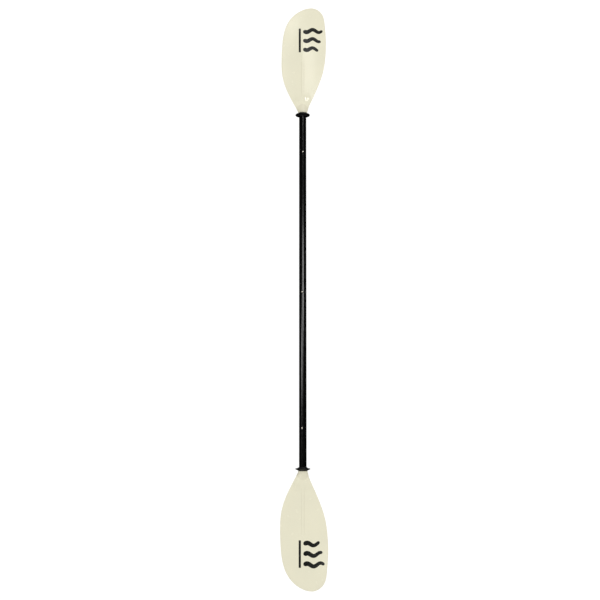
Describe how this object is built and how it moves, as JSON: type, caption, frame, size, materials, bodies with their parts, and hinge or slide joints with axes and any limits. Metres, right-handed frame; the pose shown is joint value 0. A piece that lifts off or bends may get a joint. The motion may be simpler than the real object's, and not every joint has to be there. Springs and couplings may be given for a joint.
{
  "type": "kayak paddle",
  "caption": "Take-apart double-bladed kayak paddle: asymmetric spooned blades on a round tube shaft with snap-button joints, an adjustable feather and sliding drip rings.",
  "frame": {"origin": "on the shaft's axis, halfway between the blade tips and 20 mm from the centre joint's seam", "axes": "+X along the shaft towards the left-hand blade, +Z out of the power faces (up, as it lies), -Y towards the blades' longer edges"},
  "size_m": [2.284, 0.1797, 0.0576],
  "materials": {
    "blade_nylon": "moulded nylon, semi-gloss, ivory",
    "black_aluminium": "black anodised, satin gloss",
    "ferrule_composite": "glass-filled nylon, matte charcoal",
    "stainless_steel": "polished stainless",
    "spring_steel": "rolled spring steel, satin",
    "ring_rubber": "moulded rubber, matte black",
    "plug_foam": "closed-cell foam, matte grey"
  },
  "bodies": {
    "right_grip": {"right_grip_tube": "black_aluminium", "right_ferrule": "ferrule_composite", "right_button_spring": "spring_steel", "right_grip_plug": "plug_foam"},
    "left_grip": {"left_grip_tube": "black_aluminium", "centre_ferrule": "ferrule_composite", "left_ferrule": "ferrule_composite", "centre_button_spring": "spring_steel", "left_button_spring": "spring_steel", "left_grip_plug": "plug_foam"},
    "left_blade_section": {"left_blade": "blade_nylon", "left_blade_tube": "black_aluminium", "left_blade_plug": "plug_foam"},
    "right_blade_section": {"right_blade": "blade_nylon", "right_blade_tube": "black_aluminium", "right_blade_plug": "plug_foam"},
    "left_button": {"left_button": "stainless_steel"},
    "centre_button": {"centre_button": "stainless_steel"},
    "right_button": {"right_button": "stainless_steel"},
    "left_drip_ring": {"left_drip_ring": "ring_rubber"},
    "right_drip_ring": {"right_drip_ring": "ring_rubber"}
  },
  "joints": [
    {"name": "centre_feather", "type": "hinge", "parent": "right_grip", "child": "left_grip", "pos_m": [0.02, 0, 0], "axis": [1, 0, 0], "range_deg": [-60, 60], "deforming": ["centre_button", "centre_button_spring"]},
    {"name": "left_blade_pull", "type": "slide", "parent": "left_grip", "child": "left_blade_section", "axis": [1, 0, 0], "range_m": [0, 0.09], "deforming": ["left_button", "left_button_spring"]},
    {"name": "right_blade_pull", "type": "slide", "parent": "right_grip", "child": "right_blade_section", "axis": [-1, 0, 0], "range_m": [0, 0.09], "deforming": ["right_button", "right_button_spring"]},
    {"name": "left_button_press", "type": "slide", "parent": "left_grip", "child": "left_button", "axis": [0, 0, -1], "range_m": [0, 0.0045], "stiffness_N_per_m": 1500, "springref_m": -0.002, "deforming": ["left_button_spring"]},
    {"name": "centre_button_press", "type": "slide", "parent": "left_grip", "child": "centre_button", "axis": [0, -0.1564, -0.9877], "range_m": [0, 0.0045], "stiffness_N_per_m": 1500, "springref_m": -0.002, "deforming": ["centre_button_spring"]},
    {"name": "right_button_press", "type": "slide", "parent": "right_grip", "child": "right_button", "axis": [0, -0.225, -0.9744], "range_m": [0, 0.0045], "stiffness_N_per_m": 1500, "springref_m": -0.002, "deforming": ["right_button_spring"]},
    {"name": "left_ring_slide", "type": "slide", "parent": "left_blade_section", "child": "left_drip_ring", "axis": [-1, 0, 0], "range_m": [0, 0.12]},
    {"name": "right_ring_slide", "type": "slide", "parent": "right_blade_section", "child": "right_drip_ring", "axis": [1, 0, 0], "range_m": [0, 0.12]}
  ]
}
